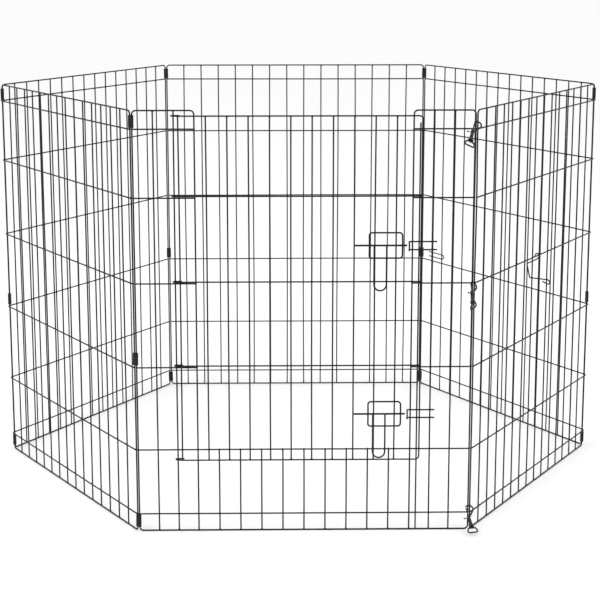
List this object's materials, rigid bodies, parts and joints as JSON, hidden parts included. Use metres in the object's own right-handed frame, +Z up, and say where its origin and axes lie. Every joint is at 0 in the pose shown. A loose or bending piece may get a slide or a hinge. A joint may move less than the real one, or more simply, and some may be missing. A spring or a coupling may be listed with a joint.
{
  "type": "folding wire pet playpen",
  "caption": "Folding ring of black coated wire mesh panels with a hinged door in one of them, slide bolts, corner clips and snap hooks.",
  "frame": {"origin": "on the floor, at the middle of the box round the whole pen with its snap hooks; 18.4 mm in front of the centre of the ring of panels", "axes": "+Z up; +X to the right and -Y outwards as seen from in front of the door panel"},
  "size_m": [1.202, 1.0809, 0.762],
  "materials": {
    "coated_wire": "black satin coating over steel wire",
    "coated_clip": "black satin coating over pressed steel strip",
    "cast_snap": "black coating over die-cast zinc, slightly glossy",
    "spring_steel": "bare spring wire"
  },
  "bodies": {
    "door_panel": {"door_panel": "coated_wire", "upper_keeper": "coated_wire", "lower_keeper": "coated_wire", "snap_top_body": "cast_snap", "snap_top_spring": "spring_steel", "snap_middle_body": "cast_snap", "snap_middle_spring": "spring_steel", "snap_bottom_body": "cast_snap", "snap_bottom_spring": "spring_steel"},
    "door": {"door": "coated_wire", "upper_bolt_guide": "coated_wire", "lower_bolt_guide": "coated_wire"},
    "upper_bolt": {"upper_slide_bolt": "coated_wire"},
    "lower_bolt": {"lower_slide_bolt": "coated_wire"},
    "front_left_panel": {"front_left_panel": "coated_wire", "front_left_clip_top": "coated_clip", "front_left_clip_middle": "coated_clip", "front_left_clip_bottom": "coated_clip"},
    "back_left_panel": {"back_left_panel": "coated_wire", "left_clip_top": "coated_clip", "left_clip_middle": "coated_clip", "left_clip_bottom": "coated_clip"},
    "back_panel": {"back_panel": "coated_wire", "back_left_clip_top": "coated_clip", "back_left_clip_middle": "coated_clip", "back_left_clip_bottom": "coated_clip"},
    "back_right_panel": {"back_right_panel": "coated_wire", "back_right_clip_top": "coated_clip", "back_right_clip_middle": "coated_clip", "back_right_clip_bottom": "coated_clip", "hook_catch": "coated_wire"},
    "front_right_panel": {"front_right_panel": "coated_wire", "right_clip_top": "coated_clip", "right_clip_middle": "coated_clip", "right_clip_bottom": "coated_clip"},
    "storage_hook": {"storage_hook": "coated_wire"},
    "snap_top_bolt": {"snap_top_bolt": "cast_snap"},
    "snap_top_eye": {"snap_top_eye": "cast_snap"},
    "snap_middle_bolt": {"snap_middle_bolt": "cast_snap"},
    "snap_middle_eye": {"snap_middle_eye": "cast_snap"},
    "snap_bottom_bolt": {"snap_bottom_bolt": "cast_snap"},
    "snap_bottom_eye": {"snap_bottom_eye": "cast_snap"}
  },
  "joints": [
    {"name": "fold_front_left", "type": "hinge", "parent": "door_panel", "child": "front_left_panel", "pos_m": [-0.297, -0.50002, 0], "axis": [0, 0, 1], "range_deg": [-30, 50]},
    {"name": "fold_left", "type": "hinge", "parent": "front_left_panel", "child": "back_left_panel", "pos_m": [-0.59746, 0.0164, 0], "axis": [0, 0, 1], "range_deg": [-100, 60]},
    {"name": "fold_back_left", "type": "hinge", "parent": "back_left_panel", "child": "back_panel", "pos_m": [-0.30046, 0.53482, 0], "axis": [0, 0, 1], "range_deg": [-30, 50]},
    {"name": "fold_back_right", "type": "hinge", "parent": "back_panel", "child": "back_right_panel", "pos_m": [0.297, 0.53682, 0], "axis": [0, 0, 1], "range_deg": [-30, 50]},
    {"name": "fold_right", "type": "hinge", "parent": "back_right_panel", "child": "front_right_panel", "pos_m": [0.59746, 0.0204, 0], "axis": [0, 0, 1], "range_deg": [-100, 60]},
    {"name": "door_hinge", "type": "hinge", "parent": "door_panel", "child": "door", "pos_m": [-0.22567, -0.49992, 0], "axis": [0, 0, -1], "range_deg": [0, 110]},
    {"name": "upper_bolt_slide", "type": "slide", "parent": "door", "child": "upper_bolt", "axis": [1, 0, 0], "range_m": [-0.005, 0.023]},
    {"name": "lower_bolt_slide", "type": "slide", "parent": "door", "child": "lower_bolt", "axis": [1, 0, 0], "range_m": [-0.005, 0.023]},
    {"name": "snap_top_thumb_slide", "type": "slide", "parent": "door_panel", "child": "snap_top_bolt", "axis": [-0.2372, -0.6785, -0.6953], "range_m": [0, 0.005], "stiffness_N_per_m": 300, "springref_m": -0.004, "deforming": ["snap_top_spring"]},
    {"name": "snap_top_eye_swivel", "type": "hinge", "parent": "door_panel", "child": "snap_top_eye", "pos_m": [0.29409, -0.49929, 0.73596], "axis": [0.2372, 0.6785, 0.6953], "continuous": true},
    {"name": "snap_middle_thumb_slide", "type": "slide", "parent": "door_panel", "child": "snap_middle_bolt", "axis": [0.03, -0.6866, -0.7265], "range_m": [0, 0.005], "stiffness_N_per_m": 300, "springref_m": -0.004, "deforming": ["snap_middle_spring"]},
    {"name": "snap_middle_eye_swivel", "type": "hinge", "parent": "door_panel", "child": "snap_middle_eye", "pos_m": [0.2941, -0.50159, 0.4529], "axis": [-0.03, 0.6866, 0.7265], "continuous": true},
    {"name": "snap_bottom_thumb_slide", "type": "slide", "parent": "door_panel", "child": "snap_bottom_bolt", "axis": [0.1886, -0.7254, -0.662], "range_m": [0, 0.005], "stiffness_N_per_m": 300, "springref_m": -0.004, "deforming": ["snap_bottom_spring"]},
    {"name": "snap_bottom_eye_swivel", "type": "hinge", "parent": "door_panel", "child": "snap_bottom_eye", "pos_m": [0.29421, -0.50149, 0.0383], "axis": [-0.1886, 0.7254, 0.662], "continuous": true},
    {"name": "storage_hook_swing", "type": "hinge", "parent": "front_right_panel", "child": "storage_hook", "pos_m": [0.45154, -0.24114, 0.45688], "axis": [-0.5, -0.866, 0], "range_deg": [0, 170]}
  ],
  "couplings": [
    {"joint": "fold_left", "follows": "fold_front_left", "ratio": -2},
    {"joint": "fold_back_left", "follows": "fold_front_left", "ratio": 1},
    {"joint": "fold_back_right", "follows": "fold_front_left", "ratio": 1},
    {"joint": "fold_right", "follows": "fold_front_left", "ratio": -2}
  ]
}
